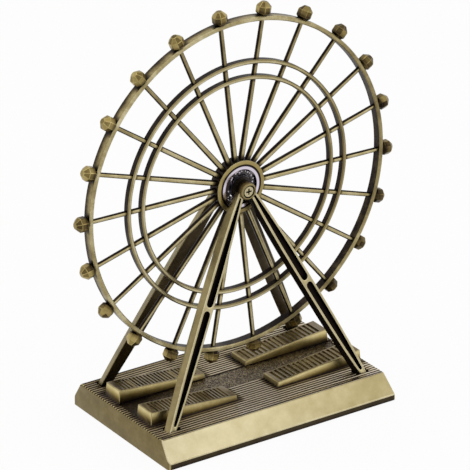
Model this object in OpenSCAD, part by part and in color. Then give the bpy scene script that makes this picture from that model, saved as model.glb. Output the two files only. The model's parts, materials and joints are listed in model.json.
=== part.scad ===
// Desk model of a big observation wheel: two leaning A-frames on a ribbed base
// carry a ball bearing, and the wheel turns on it when it is pushed by hand.
// Origin: centre of the underside, +Z up, +X along the wheel, -Y to the front.
// All sizes are in millimetres.

/* [Base] */
// Length of the base at half its height, along X
base_l = 96.4; // [80:0.1:130]
// How far the right end leans in from the table to the top; the left end is upright
end_draft = 2.4; // [0:0.1:4]
// Depth of the base at its foot, along Y
base_d = 60.6; // [50:0.1:80]
// Depth of the flat top of the base
base_top_d = 51.8; // [44:0.1:74]
// Height of the ribbed top above the table
base_h = 9.9; // [7:0.1:14]
// Height of the upright lip around the foot
lip_h = 2.5; // [1:0.1:4]
// Radius of the upright corners
corner_r = 1.3; // [0.5:0.1:3]
// Radius of the top edges
edge_r = 0.7; // [0.4:0.1:1.5]
// Wall of the hollow casting
base_wall = 3.4; // [2.4:0.1:6]
// Thickness of the top plate of the casting
plate_t = 3.0; // [2:0.1:4]

/* [Pad] */
// Thickness of the soft pad under the base
pad_t = 1.0; // [0.6:0.1:2]
// How far the pad stands out below the casting
pad_proud = 0.2; // [0.1:0.05:0.5]
// Strip of casting left bare around the pad
pad_inset = 1.6; // [1:0.1:4]

/* [Ribs and river] */
// Spacing of the ribs on the top
rib_pitch = 1.386; // [1:0.002:3]
// Number of ribs across the top
rib_n = 36; // [20:2:48]
// Depth of the grooves between the ribs
rib_depth = 0.5; // [0.2:0.05:1]
// Width of a groove at its mouth
rib_groove_w = 0.95; // [0.4:0.05:2]
// Length of the river
river_l = 91; // [60:0.5:110]
// Width of the smooth river that crosses the base
river_w = 10.8; // [6:0.1:16]
// Depth of the river below the tops of the ribs
river_depth = 0.6; // [0.3:0.05:1.5]

/* [Piers] */
// Width of a pier at the level of the ribs
pier_w = 9.2; // [6:0.1:12]
// Distance from the middle of the base to a pier's inner end
pier_x0 = 8.5; // [6:0.1:14]
// Distance from the middle of the base to a pier's outer end
pier_x1 = 45.1; // [36:0.1:47]
// Height of a pier at its inner end, above the ribs
pier_h0 = 1.65; // [1:0.05:4]
// Height of a pier at its outer end, above the ribs
pier_h1 = 4.6; // [2:0.05:8]
// How far each pier side leans in, from bottom to top
pier_draft = 0.4; // [0:0.05:1]
// Width of the plain rim along each side of the steps
pier_rim = 1.0; // [0.6:0.1:2]
// Plain strip at the inner end of the steps
pier_strip0 = 1.5; // [0.8:0.1:3]
// Plain strip at the outer end of the steps
pier_strip1 = 2.8; // [1:0.1:5]
// Spacing of the steps on the left piers
step_pitch_l = 1.47; // [1:0.01:3]
// Spacing of the steps on the right piers
step_pitch_r = 1.9; // [1:0.01:3]
// Depth of the grooves between the steps
step_depth = 0.45; // [0.2:0.05:0.8]
// Half the width of a groove, as a share of the step spacing
step_cut = 0.3; // [0.2:0.01:0.4]

/* [A-frames] */
// Height of the wheel's axis above the table
hub_h = 84.5; // [76:0.1:110]
// Backward lean of each frame, in degrees from upright
lean = 12.14; // [8:0.02:14]
// Thickness of a frame, square to its face
frame_t = 2.8; // [2.6:0.02:5]
// Setback of the leaning legs towards the wheel; below 0 they stand off the hub's side
leg_back = -0.4; // [-0.6:0.1:1]
// Shift of both pairs of legs to the rear
leg_shift = 0.65; // [0:0.05:0.8]
// How much wider than its slotted face a leg is at its wheel side, on each side
leg_draft = 0.9; // [0:0.05:1.2]
// Distance from the middle plane to a frame, at the axis
frame_gap = 3.3; // [3.2:0.05:5]
// Distance from the middle to a leg's centre line, at the axis
leg_x0 = 1.45; // [1.2:0.01:2.2]
// Distance from the middle to a leg's centre line, at the ribs
leg_x1 = 40.3; // [34:0.1:41]
// Outward bow of a leg, half way down
leg_bow = 0.1; // [0:0.01:2]
// Greatest width of a leg, measured level
leg_w = 4.7; // [4.4:0.1:7]
// Width of a leg level with the axis, measured level
leg_w_top = 2.1; // [2:0.1:4]
// Width of a leg where it enters the base, measured level
leg_w_foot = 2.8; // [2.6:0.1:5]
// Drop from the axis to the widest place of a leg
leg_w_at = 37; // [25:0.5:50]
// How late a leg narrows towards its ends; 2 is a plain curve
leg_taper = 2.6; // [2:0.1:4]
// Width of the rim around the slots of a leg
slot_rim = 0.8; // [0.5:0.05:1.4]
// Depth of the slots
slot_depth = 1.7; // [1:0.1:2]
// Drop from the axis to the top of the upper slot
slot_h0 = 2.6; // [2.4:0.1:12]
// Drop from the axis to the bar between the slots
slot_h1 = 37.3; // [25:0.1:50]
// Drop from the axis to the end of the lower slot
slot_h2 = 74; // [55:0.1:74.2]
// Width of the bar between the slots
slot_bar = 1.2; // [0.8:0.1:3]
// Length of a foot pocket, along X
pocket_x = 5.6; // [5:0.1:9]
// Depth of a foot pocket, along Y
pocket_y = 4.4; // [4.2:0.1:8]
// How deep a foot pocket goes below the ribs
pocket_h = 3.0; // [2:0.1:4]
// Height of the block at a leg's foot
foot_h = 1.6; // [0.8:0.1:2]
// Free space around the foot block in its pocket
foot_fit = 0.25; // [0.1:0.05:0.5]

/* [Axle and bearing] */
// Radius of the boss at the top of a frame
boss_r = 3.1; // [2.9:0.05:4.5]
// Distance from the middle plane to a boss's face
boss_y = 7.5; // [6.9:0.1:9]
// Radius of the sunk seat in a boss
seat_r = 2.3; // [2.1:0.05:2.6]
// Depth of the sunk seat
seat_depth = 1.3; // [1.1:0.05:1.8]
// Bore of the ball bearing
race_bore = 5.0; // [4:0.5:6]
// Outer diameter of the ball bearing
race_od = 16.0; // [15:0.5:19]
// Width of the ball bearing
race_w = 5.0; // [4.6:0.1:6]
// Outer diameter of the inner race
inner_race_od = 8.5; // [8:0.1:9]
// Inner diameter of the outer race
outer_race_id = 13.0; // [12.6:0.1:13]
// Diameter of a bearing ball
ball_d = 2.78; // [2.6:0.02:2.8]
// Diameter of the circle that the ball centres lie on
ball_pitch_d = 10.5; // [10.2:0.1:10.8]
// Number of bearing balls
ball_n = 7; // [6:1:8]
// Free space between the ball cage and each race
cage_gap = 0.5; // [0.4:0.05:0.6]
// How far the cage stands out behind the balls
cage_wall = 0.4; // [0.3:0.05:0.6]
// How far the cage's open side stops short of the balls' fronts
cage_short = 0.3; // [0.2:0.05:0.6]
// Outer diameter of the spacers beside the inner race
spacer_od = 8.2; // [6.8:0.1:8.4]
// Diameter of the axle's spigots in the frames
spigot_d = 4.0; // [3:0.1:4.2]
// Length of the axle's spigots
spigot_l = 1.4; // [1:0.1:1.6]
// Free length at the end of a spigot
spigot_play = 0.1; // [0.1:0.05:0.3]

/* [Screws] */
// Diameter of the small screws
screw_d = 2.0; // [1.6:0.1:2.2]
// Diameter of their heads
screw_head_d = 3.8; // [3.4:0.1:4]
// Height of their heads
screw_head_h = 1.0; // [0.8:0.1:1.2]
// Depth of the cross in a head
cross_depth = 0.5; // [0.3:0.05:0.7]
// Depth of thread in a foot
foot_thread = 2.0; // [1.8:0.1:2.6]
// Depth of thread in the axle
axle_thread = 3.0; // [2:0.1:3.5]

/* [Wheel] */
// Number of spokes and capsules
spoke_n = 22; // [16:2:24]
// Turn of the wheel at rest, in degrees
wheel_phase = -0.77; // [-8:0.01:8]
// Outer diameter of the hub drum
drum_od = 19.55; // [19:0.05:24]
// Radius of the rim's inside
rim_r = 60.2; // [56:0.1:62]
// Thickness of the rim, outward
rim_t = 1.6; // [1.4:0.1:3]
// Width of the rim, along the axis
rim_w = 3.92; // [3:0.02:5]
// Radius of the middle ring's inside
mid_r = 44.6; // [42.5:0.1:50]
// Radius of the inner ring's inside
in_r = 38.87; // [34:0.01:40.5]
// Thickness of both rings, outward
ring_t = 1.42; // [1:0.02:1.8]
// Width of both rings, along the axis
ring_w = 2.98; // [2.6:0.02:4]
// Small bevel on the edges of the rim and the rings
ring_bevel = 0.25; // [0.1:0.05:0.4]
// Width of a spoke over its corners, at the drum
spoke_w0 = 2.3; // [1.9:0.05:2.4]
// Width of a spoke over its corners, at the rim
spoke_w1 = 1.76; // [1.6:0.02:2]
// Diameter of the pegs in the drum and the rim
peg_d = 1.5; // [1:0.1:1.5]
// Diameter of a capsule over its corners
capsule_d = 5.94; // [4.8:0.02:6.6]
// Diameter of a capsule's foot on the rim
capsule_foot_d = 3.8; // [2.4:0.1:3.9]
// Height of a capsule's foot above the rim
capsule_foot_h = 0.7; // [0.5:0.05:1]
// Distance from the rim's outside to a capsule's centre
capsule_out = 2.0; // [1.6:0.05:2.4]

/* [Fits] */
// Free space around fixed pins, pegs and screws
fit = 0.03; // [0.02:0.01:0.05]
// Running space around the bearing balls
run_fit = 0.04; // [0.02:0.01:0.08]
// Free space around the pad and the screw heads
loose_fit = 0.2; // [0.1:0.05:0.3]

/* [Hidden] */
$fn = 64;
eps = 0.01;
far = 200;
cut = 1;
drop = hub_h - base_h;
leg_slice = 0.2;
pocket_z = base_h - pocket_h;
foot_screw_z = pocket_z + (foot_h + foot_thread) / 2;
cavity_z = base_h - plate_t;
spoke_step = 360 / spoke_n;
spoke_r0 = drum_od / 2 + fit;
spoke_r1 = rim_r - fit;
rim_ro = rim_r + rim_t;
peg_gap = 0.05;
peg_meet = rim_r + rim_t / 2;
peg_root = race_od / 2 + loose_fit;
capsule_r = rim_ro + capsule_out;
base_slope = atan2((base_d - base_top_d) / 2, base_h - lip_h);
end_slope = atan2(end_draft, base_h);
pitch_r = ball_pitch_d / 2;
spacer_t = frame_gap - race_w / 2;
seat_y = boss_y - seat_depth;
cage_r0 = inner_race_od / 2 + cage_gap;
cage_r1 = outer_race_id / 2 - cage_gap;
cage_back = ball_d / 2 + cage_wall;
cage_front = ball_d / 2 - cage_short;
leg_steps = 24;
arc_steps = 6;

// Width of a leg, measured level, at a drop h below the axis.
function leg_width(h) = h < leg_w_at
    ? leg_w - (leg_w - leg_w_top) * pow((leg_w_at - h) / leg_w_at, leg_taper)
    : leg_w - (leg_w - leg_w_foot) * pow((h - leg_w_at) / (drop - leg_w_at), leg_taper);

// Centre line of a leg in the frame's own plane, at a drop h below the axis.
function leg_x(h) = leg_x0 + (leg_x1 - leg_x0) * h / drop + 4 * leg_bow * (h / drop) * (1 - h / drop);
function leg_point(h) = [leg_x(h), -h / cos(lean)];
function leg_dir(h) = leg_point(h + 0.5) - leg_point(h - 0.5);
function leg_normal(h) = [-leg_dir(h)[1], leg_dir(h)[0]] / norm(leg_dir(h));
function leg_half(h) = leg_width(h) / 2 * leg_normal(h)[0];
function leg_wide(h) = leg_half(h) + min(leg_draft, h / 10);

// Y and X of a leg's middle at height z, for the pockets, the feet and the screws.
// sy is -1 at the front and 1 at the rear.
function leg_mid(sy) = frame_t / 2 - leg_back + sy * leg_shift;
function foot_y(z, sy) = frame_gap + (hub_h - z) * tan(lean) + leg_mid(sy) / cos(lean);
function foot_x(z, sy) = leg_x(hub_h - z + leg_mid(sy) * sin(lean));

// Points of an arc of radius r about c, from a to b degrees.
function arc(c, r, a, b) = [for (i = [0 : arc_steps])
    c + r * [cos(a + (b - a) * i / arc_steps), sin(a + (b - a) * i / arc_steps)]];

// Outline of a rectangle w by d, centred, with corners of radius r.
function round_rect(w, d, r) = concat(
    arc([w / 2 - r, d / 2 - r], r, 0, 90),
    arc([-w / 2 + r, d / 2 - r], r, 90, 180),
    arc([-w / 2 + r, -d / 2 + r], r, 180, 270),
    arc([w / 2 - r, -d / 2 + r], r, 270, 360));

// Outline of one leg, from the axis down to a drop h1, at its slotted face or its wheel side.
function leg_side(h, wide) = leg_normal(h) * (wide ? leg_wide(h) : leg_half(h));
function leg_outline(h1, wide) = concat(
    [for (i = [0 : leg_steps])
        let (h = h1 * i / leg_steps) leg_point(h) + leg_side(h, wide)],
    [for (i = [leg_steps : -1 : 0])
        let (h = h1 * i / leg_steps) leg_point(h) - leg_side(h, wide)]);

// Outline of one slot between the drops a and b, with round ends.
function slot_drop(a, b, i) = let (t = (1 - cos(180 * i / leg_steps)) / 2) a + (b - a) * t;
function slot_half(a, b, h) = let (
    r = leg_half(h) - slot_rim,
    e = min(h - a, b - h) * 1.12) e >= r ? r : sqrt(max(0, r * r - pow(r - e, 2)));
function slot_outline(a, b) = concat(
    [for (i = [0 : leg_steps])
        let (h = slot_drop(a, b, i)) leg_point(h) + leg_normal(h) * slot_half(a, b, h)],
    [for (i = [leg_steps - 1 : -1 : 1])
        let (h = slot_drop(a, b, i)) leg_point(h) - leg_normal(h) * slot_half(a, b, h)]);

// Turns what points along +Z to point along -Y, about the wheel's axis.
module on_axis() {
    translate([0, 0, hub_h])
        rotate([90, 0, 0])
            children();
}

// Mirrors what lies at +X and +Y to the side sx, sy.
module side(sx, sy) {
    mirror([sx < 0 ? 1 : 0, 0, 0])
        mirror([0, sy < 0 ? 1 : 0, 0])
            children();
}

// Puts what lies along +X at each spoke's place.
module at_spokes() {
    for (i = [0 : spoke_n - 1])
        translate([0, 0, hub_h])
            rotate([0, -(wheel_phase + i * spoke_step), 0])
                children();
}

// Radial round hole or peg from radius a to radius b.
module radial_pin(r, a, b) {
    translate([a, 0, 0])
        rotate([0, 90, 0])
            cylinder(r = r, h = b - a);
}

// Ring about the wheel's axis, with bevelled edges.
module ring(r0, r1, w, bevel) {
    on_axis()
        rotate_extrude($fn = 180)
            polygon([
                [r0, -w / 2 + bevel], [r0 + bevel, -w / 2],
                [r1 - bevel, -w / 2], [r1, -w / 2 + bevel],
                [r1, w / 2 - bevel], [r1 - bevel, w / 2],
                [r0 + bevel, w / 2], [r0, w / 2 - bevel]]);
}

// Cross cut into a screw head of diameter d, with its face at z = 0.
module cross_cut(d) {
    for (a = [0, 90])
        rotate([0, 0, a])
            translate([-d * 0.3, -d * 0.07, -cross_depth])
                cube([d * 0.6, d * 0.14, cross_depth + eps]);
}

// Screw along +Z: the head's face at z = 0, the shank running down.
module screw(length) {
    difference() {
        union() {
            translate([0, 0, -screw_head_h])
                cylinder(d = screw_head_d, h = screw_head_h);
            translate([0, 0, -screw_head_h - length])
                cylinder(d = screw_d, h = length + eps);
        }
        cross_cut(screw_head_d);
    }
}

// Outer form of the base, without its cuts.
module base_form() {
    intersection() {
        translate([-far / 2, 0, 0])
            rotate([90, 0, 90])
                linear_extrude(far)
                    polygon(concat(
                        [[-base_d / 2, pad_proud], [base_d / 2, pad_proud], [base_d / 2, lip_h]],
                        arc([base_top_d / 2 - edge_r, base_h - edge_r], edge_r, base_slope, 90),
                        arc([-base_top_d / 2 + edge_r, base_h - edge_r], edge_r, 90, 180 - base_slope),
                        [[-base_d / 2, lip_h]]));
        translate([0, far / 2, 0])
            rotate([90, 0, 0])
                linear_extrude(far)
                    polygon(concat(
                        [[-base_l / 2, 0], [(base_l + end_draft) / 2, 0]],
                        arc([(base_l - end_draft) / 2 - edge_r, base_h - edge_r], edge_r, end_slope, 90),
                        arc([-base_l / 2 + edge_r, base_h - edge_r], edge_r, 90, 180)));
        translate([end_draft / 4, 0, 0])
            linear_extrude(far)
                polygon(round_rect(base_l + end_draft / 2, base_d, corner_r));
    }
}

// Hollow under the base, clear of the four blocks that take the frame screws.
module base_hollow() {
    cut_l = base_l - 2 * base_wall;
    cut_d = base_top_d - 2 * base_wall;
    block_x = leg_x1 - pocket_x / 2 - plate_t;
    difference() {
        translate([-cut_l / 2, -cut_d / 2, 0])
            cube([cut_l, cut_d, cavity_z]);
        for (sx = [-1, 1], sy = [-1, 1])
            side(sx, sy)
                translate([block_x, foot_y(base_h, sy) - pocket_y / 2 - plate_t, -eps])
                    cube([far, far, far]);
    }
}

// Grooves between the ribs, along the whole base.
module rib_grooves() {
    for (i = [1 : rib_n - 1])
        translate([-far / 2, (i - rib_n / 2) * rib_pitch, base_h])
            rotate([90, 0, 90])
                linear_extrude(far)
                    polygon([[0, -rib_depth], [rib_groove_w / 2, 0], [rib_groove_w / 2, cut],
                        [-rib_groove_w / 2, cut], [-rib_groove_w / 2, 0]]);
}

// Height of a pier's top at a distance x from the middle.
function pier_top(x) = base_h + pier_h0 + (pier_h1 - pier_h0) * (x - pier_x0) / (pier_x1 - pier_x0);

// One pier, on the right, with its steps; y0 is its inner side.
module pier(pitch) {
    y0 = river_w / 2;
    low = base_h - river_depth;
    n = floor((pier_x1 - pier_x0 - pier_strip0 - pier_strip1) / pitch);
    difference() {
        intersection() {
            translate([0, y0 + pier_w, 0])
                rotate([90, 0, 0])
                    linear_extrude(pier_w)
                        polygon([[pier_x0, low], [pier_x1, low],
                            [pier_x1 - pier_draft, pier_top(pier_x1)],
                            [pier_x0 + pier_draft, pier_top(pier_x0)]]);
            rotate([90, 0, 90])
                linear_extrude(far)
                    polygon([[y0, low], [y0 + pier_w, low], [y0 + pier_w, base_h],
                        [y0 + pier_w - pier_draft, base_h + pier_h1],
                        [y0 + pier_draft, base_h + pier_h1], [y0, base_h]]);
        }
        for (i = [0 : n - 1])
            let (x = pier_x1 - pier_strip1 - (i + 0.5) * pitch, z = pier_top(x))
                translate([0, y0 + pier_w - pier_rim, 0])
                    rotate([90, 0, 0])
                        linear_extrude(pier_w - 2 * pier_rim)
                            polygon([
                                [x - pitch * step_cut, z + cut], [x - pitch * step_cut, z - step_depth],
                                [x + pitch * step_cut, z - step_depth], [x + pitch * step_cut, z + cut]]);
    }
}

// Cast base: ribbed top, river, four stepped piers and four foot pockets.
module base() {
    color([0.62, 0.55, 0.38])
        difference() {
            union() {
                difference() {
                    base_form();
                    rib_grooves();
                    translate([-river_l / 2, -river_w / 2, base_h - river_depth])
                        cube([river_l, river_w, river_depth + cut]);
                }
                for (sy = [-1, 1]) {
                    side(1, sy)
                        pier(step_pitch_r);
                    side(-1, sy)
                        pier(step_pitch_l);
                }
            }
            base_hollow();
            translate([0, 0, -eps])
                linear_extrude(pad_t + eps)
                    polygon(round_rect(base_l - 2 * pad_inset, base_d - 2 * pad_inset, corner_r));
            for (sx = [-1, 1], sy = [-1, 1])
                side(sx, sy) {
                    translate([leg_x1 - pocket_x / 2, foot_y(base_h, sy) - pocket_y / 2, pocket_z])
                        cube([pocket_x, pocket_y, far]);
                    translate([foot_x(foot_screw_z, sy), foot_y(foot_screw_z, sy), 0]) {
                        cylinder(d = screw_d + 2 * fit, h = far);
                        cylinder(d = screw_head_d + 2 * loose_fit, h = pad_t + screw_head_h + loose_fit);
                    }
                }
        }
}

// Soft sheet set into the underside; it covers the screw heads.
module base_pad() {
    l = base_l - 2 * pad_inset - 2 * loose_fit;
    d = base_d - 2 * pad_inset - 2 * loose_fit;
    color([0.10, 0.10, 0.10])
        linear_extrude(pad_t)
            polygon(round_rect(l, d, corner_r));
}

// Room of a foot block in its pocket, up to a height h above the pocket's floor.
module foot_room(sx, sy, h) {
    translate([sx * leg_x1, -foot_y(base_h, sy), pocket_z + h / 2])
        cube([pocket_x - 2 * foot_fit, pocket_y - 2 * foot_fit, h], center = true);
}

// One A-frame in front position: two slotted legs, a boss and two foot blocks.
// sy tells which legs it has: -1 those of the front frame, 1 those of the rear frame.
module a_frame(sy) {
    end_h = drop + pocket_h + frame_t;
    difference() {
        union() {
            intersection() {
                translate([0, -frame_gap, hub_h])
                    rotate([90 - lean, 0, 0])
                        translate([0, 0, leg_mid(sy) - frame_t / 2])
                            difference() {
                                for (sx = [-1, 1])
                                    side(sx, 1)
                                        hull() {
                                            linear_extrude(leg_slice)
                                                polygon(leg_outline(end_h, true));
                                            translate([0, 0, frame_t - leg_slice])
                                                linear_extrude(leg_slice)
                                                    polygon(leg_outline(end_h, false));
                                        }
                                translate([0, 0, frame_t - slot_depth])
                                    linear_extrude(slot_depth + cut)
                                        for (sx = [-1, 1])
                                            side(sx, 1) {
                                                polygon(slot_outline(slot_h0, slot_h1 - slot_bar / 2));
                                                polygon(slot_outline(slot_h1 + slot_bar / 2, slot_h2));
                                            }
                            }
                union() {
                    translate([-far / 2, -far - frame_gap, base_h])
                        cube([far, far, far]);
                    for (sx = [-1, 1])
                        foot_room(sx, sy, pocket_h + eps);
                }
            }
            translate([0, -frame_gap, 0])
                on_axis()
                    cylinder(r = boss_r, h = boss_y - frame_gap);
            for (sx = [-1, 1])
                foot_room(sx, sy, foot_h);
        }
        on_axis() {
            translate([0, 0, frame_gap - cut])
                cylinder(d = spigot_d + 2 * fit, h = spigot_l + spigot_play + cut);
            cylinder(d = screw_d + 2 * fit, h = far);
            translate([0, 0, seat_y])
                cylinder(r = seat_r, h = far);
        }
        for (sx = [-1, 1])
            translate([sx * foot_x(foot_screw_z, sy), -foot_y(foot_screw_z, sy), 0])
                cylinder(d = screw_d + 2 * fit, h = pocket_z + foot_thread);
    }
}

// A-frame on the front side.
module front_frame() {
    color([0.66, 0.58, 0.40])
        a_frame(-1);
}

// A-frame on the rear side.
module rear_frame() {
    color([0.60, 0.53, 0.37])
        side(1, -1)
            a_frame(1);
}

// Four screws that hold the feet, put in from below.
module frame_screws() {
    length = pocket_z + foot_thread - fit - pad_t - screw_head_h - loose_fit;
    color([0.55, 0.55, 0.56])
        for (sx = [-1, 1], sy = [-1, 1])
            translate([sx * foot_x(foot_screw_z, sy), sy * foot_y(foot_screw_z, sy), pad_t + loose_fit])
                rotate([180, 0, 0])
                    screw(length);
}

// Fixed axle: the bearing sits on its middle, spigots sit in the frames.
module axle() {
    color([0.72, 0.72, 0.74])
        on_axis()
            difference() {
                union() {
                    translate([0, 0, -frame_gap])
                        cylinder(d = race_bore - 2 * fit, h = 2 * frame_gap);
                    translate([0, 0, -frame_gap - spigot_l])
                        cylinder(d = spigot_d, h = 2 * (frame_gap + spigot_l));
                }
                for (s = [0, 180])
                    rotate([s, 0, 0])
                        translate([0, 0, frame_gap + spigot_l - axle_thread])
                            cylinder(d = screw_d + 2 * fit, h = axle_thread + cut);
            }
}

// Two screws that clamp the frames to the axle.
module axle_screws() {
    length = seat_y - (frame_gap + spigot_l - axle_thread) - loose_fit;
    color([0.80, 0.78, 0.72])
        on_axis()
            for (s = [0, 180])
                rotate([s, 0, 0])
                    translate([0, 0, seat_y + screw_head_h])
                        screw(length);
}

// Washer between the inner race and a frame.
module spacer() {
    on_axis()
        translate([0, 0, race_w / 2])
            difference() {
                cylinder(d = spacer_od, h = spacer_t);
                translate([0, 0, -cut])
                    cylinder(d = race_bore + 2 * fit, h = spacer_t + 2 * cut);
            }
}

// Spacer on the front side.
module front_spacer() {
    color([0.70, 0.68, 0.62])
        spacer();
}

// Spacer on the rear side.
module rear_spacer() {
    color([0.70, 0.68, 0.62])
        side(1, -1)
            spacer();
}

// Race between the radii r0 and r1, with the groove that the balls run in.
module race(r0, r1) {
    on_axis()
        rotate_extrude()
            difference() {
                translate([r0, -race_w / 2])
                    square([r1 - r0, race_w]);
                translate([pitch_r, 0])
                    circle(r = ball_d / 2 + run_fit);
            }
}

// Inner race, fixed on the axle.
module bearing_inner_race() {
    color([0.25, 0.25, 0.27])
        race(race_bore / 2, inner_race_od / 2);
}

// Outer race, pressed into the drum.
module bearing_outer_race() {
    color([0.88, 0.88, 0.90])
        race(outer_race_id / 2, race_od / 2);
}

// Bearing balls, evenly spaced.
module bearing_balls() {
    color([0.80, 0.80, 0.82])
        on_axis()
            for (i = [0 : ball_n - 1])
                rotate([0, 0, i * 360 / ball_n])
                    translate([pitch_r, 0, 0])
                        sphere(d = ball_d);
}

// Crown cage that keeps the balls apart; its pockets open to the rear.
module bearing_cage() {
    color([0.16, 0.16, 0.17])
        on_axis()
            difference() {
                translate([0, 0, -cage_front])
                    cylinder(r = cage_r1, h = cage_front + cage_back);
                translate([0, 0, -race_w])
                    cylinder(r = cage_r0, h = 2 * race_w);
                for (i = [0 : ball_n - 1])
                    rotate([0, 0, i * 360 / ball_n])
                        translate([pitch_r, 0, 0])
                            sphere(r = ball_d / 2 + run_fit);
            }
}

// Drum at the middle of the wheel: it holds the bearing and the spokes' roots.
module hub() {
    color([0.58, 0.51, 0.36])
        difference() {
            on_axis()
                translate([0, 0, -race_w / 2])
                    difference() {
                        cylinder(d = drum_od, h = race_w);
                        translate([0, 0, -cut])
                            cylinder(d = race_od + 2 * eps, h = race_w + 2 * cut);
                    }
            at_spokes()
                radial_pin(peg_d / 2 + fit, race_od / 2 - cut, drum_od / 2 + cut);
        }
}

// Tapered six-sided spokes, with a round peg at each end.
module spokes() {
    color([0.60, 0.54, 0.42])
        at_spokes() {
            translate([spoke_r0, 0, 0])
                rotate([0, 90, 0])
                    cylinder(d1 = spoke_w0, d2 = spoke_w1, h = spoke_r1 - spoke_r0, $fn = 6);
            radial_pin(peg_d / 2, peg_root, spoke_r0 + cut);
            radial_pin(peg_d / 2, spoke_r1 - cut, peg_meet - peg_gap);
        }
}

// Width of a spoke over its corners, at radius r.
function spoke_at(r) = spoke_w0 + (spoke_w1 - spoke_w0) * (r - spoke_r0) / (spoke_r1 - spoke_r0);

// Ring at inside radius r that all the spokes pass through.
module spoke_ring(r) {
    difference() {
        ring(r, r + ring_t, ring_w, ring_bevel);
        at_spokes()
            radial_pin(spoke_at(r) / 2 + fit, r - cut, r + ring_t + cut);
    }
}

// Inner of the two rings part-way out.
module inner_ring() {
    color([0.66, 0.59, 0.43])
        spoke_ring(in_r);
}

// Outer of the two rings part-way out.
module middle_ring() {
    color([0.66, 0.59, 0.43])
        spoke_ring(mid_r);
}

// Rim that carries the capsules.
module outer_rim() {
    color([0.66, 0.59, 0.43])
        difference() {
            ring(rim_r, rim_ro, rim_w, ring_bevel);
            at_spokes()
                radial_pin(peg_d / 2 + fit, rim_r - cut, rim_ro + cut);
        }
}

// Eight-sided capsules on the rim, each with a round foot and a peg in the rim.
module capsules() {
    color([0.72, 0.65, 0.48])
        at_spokes() {
            intersection() {
                translate([capsule_r, 0, 0])
                    rotate([0, 90, 0])
                        rotate([0, 0, 22.5])
                            sphere(d = capsule_d, $fn = 8);
                translate([rim_ro + capsule_foot_h / 2, -capsule_d, -capsule_d])
                    cube([2 * capsule_d, 2 * capsule_d, 2 * capsule_d]);
            }
            radial_pin(capsule_foot_d / 2, rim_ro + eps, rim_ro + capsule_foot_h);
            radial_pin(peg_d / 2, peg_meet + peg_gap, capsule_r);
        }
}

base();
base_pad();
front_frame();
rear_frame();
frame_screws();
axle();
axle_screws();
front_spacer();
rear_spacer();
bearing_inner_race();
bearing_outer_race();
bearing_balls();
bearing_cage();
hub();
spokes();
inner_ring();
middle_ring();
outer_rim();
capsules();
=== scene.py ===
# %% [markdown]
# # Desk observation wheel: its looks
#
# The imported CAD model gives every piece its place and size. This script dresses it: it rounds the
# cast pieces, rebuilds the wheel's repeated parts with Geometry Nodes, and gives each piece an
# aged brass or a steel material. +X runs along the wheel, -Y to the front and +Z up. Blender
# counts in metres. Sizes are written here in millimetres, and MM turns them into metres.

# %% Load the frame
import bpy
import bmesh
import json
import math
from collections import namedtuple
from functools import reduce
from mathutils import Matrix, Vector

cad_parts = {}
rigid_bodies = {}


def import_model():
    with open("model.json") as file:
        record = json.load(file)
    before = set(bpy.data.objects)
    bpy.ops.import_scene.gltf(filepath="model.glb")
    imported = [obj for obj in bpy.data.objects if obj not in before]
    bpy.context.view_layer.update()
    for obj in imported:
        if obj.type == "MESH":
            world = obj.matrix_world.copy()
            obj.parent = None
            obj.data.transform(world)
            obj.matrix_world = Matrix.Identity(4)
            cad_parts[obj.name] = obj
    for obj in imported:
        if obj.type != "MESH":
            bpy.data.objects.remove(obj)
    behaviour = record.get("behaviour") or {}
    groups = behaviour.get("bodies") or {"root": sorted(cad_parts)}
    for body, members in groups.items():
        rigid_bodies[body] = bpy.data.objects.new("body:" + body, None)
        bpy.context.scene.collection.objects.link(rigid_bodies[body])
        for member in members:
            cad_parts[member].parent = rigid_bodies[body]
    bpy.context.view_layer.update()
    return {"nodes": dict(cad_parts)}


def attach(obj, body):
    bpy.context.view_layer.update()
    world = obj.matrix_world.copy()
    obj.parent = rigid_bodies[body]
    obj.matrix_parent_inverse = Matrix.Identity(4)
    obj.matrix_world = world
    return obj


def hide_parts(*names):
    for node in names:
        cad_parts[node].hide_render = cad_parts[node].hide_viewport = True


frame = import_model()
MM = 0.001

# %% [markdown]
# ## Sizes
#
# These repeat the driving sizes of the solids, so that each new piece and each pattern lies where
# its solid lies. Sizes that only one step needs are written there.

# %% Sizes
AXIS_Z = 84.5  # height of the wheel's axis
SPOKES = 22
PHASE = math.radians(-0.77)  # turn of the wheel at rest
RACE_R = 8.0  # outside of the bearing
RIM = dict(r0=60.2, r1=61.8, w=3.92)  # inner and outer radius, and width along the axis
MIDDLE = dict(r0=44.6, r1=46.02, w=2.98)
INNER = dict(r0=38.87, r1=40.29, w=2.98)
BASE_TOP = 9.9  # height of the ribs' crests
LIP_H = 2.5  # height of the upright lip round the base
RIVER_Z = 9.3  # floor of the river's channel
RIVER_W = 10.8
PIER_X = (8.5, 45.1)  # where a pier begins and ends, on both sides of the middle
PIER_Y = (5.4, 14.6)
PIER_RISE = (1.65, 4.6)  # its height over the ribs at those two ends
print("wheel axis at", AXIS_Z, "mm with", SPOKES, "spokes")

# %% [markdown]
# ## Node helpers
#
# A node tree can be clicked together or built by a script. A script repeats exactly, but each node
# takes it several lines. These helpers make that one line: `add` makes a node with its properties
# and inputs. A value that is an output socket is linked, any other value is set, and an underscore
# in a keyword stands for the space in a socket's name.


# %% Node helpers
def feed(tree, socket, value):
    if isinstance(value, bpy.types.NodeSocket):
        tree.links.new(value, socket)
    else:
        socket.default_value = value


def put(tree, node, key, value):
    """Feeds the input that has this name or number."""
    feed(tree, node.inputs[key], value)


def add(tree, kind, props=None, **inputs):
    node = tree.nodes.new(kind)
    for key, value in (props or {}).items():
        setattr(node, key, value)
    for key, value in inputs.items():
        put(tree, node, key.replace("_", " "), value)
    return node


def empty_tree(owner):
    """The node tree of a material or a world, without the nodes that it starts with."""
    owner.use_nodes = True
    owner.node_tree.nodes.clear()
    return owner.node_tree


print("node helpers ready")


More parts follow.
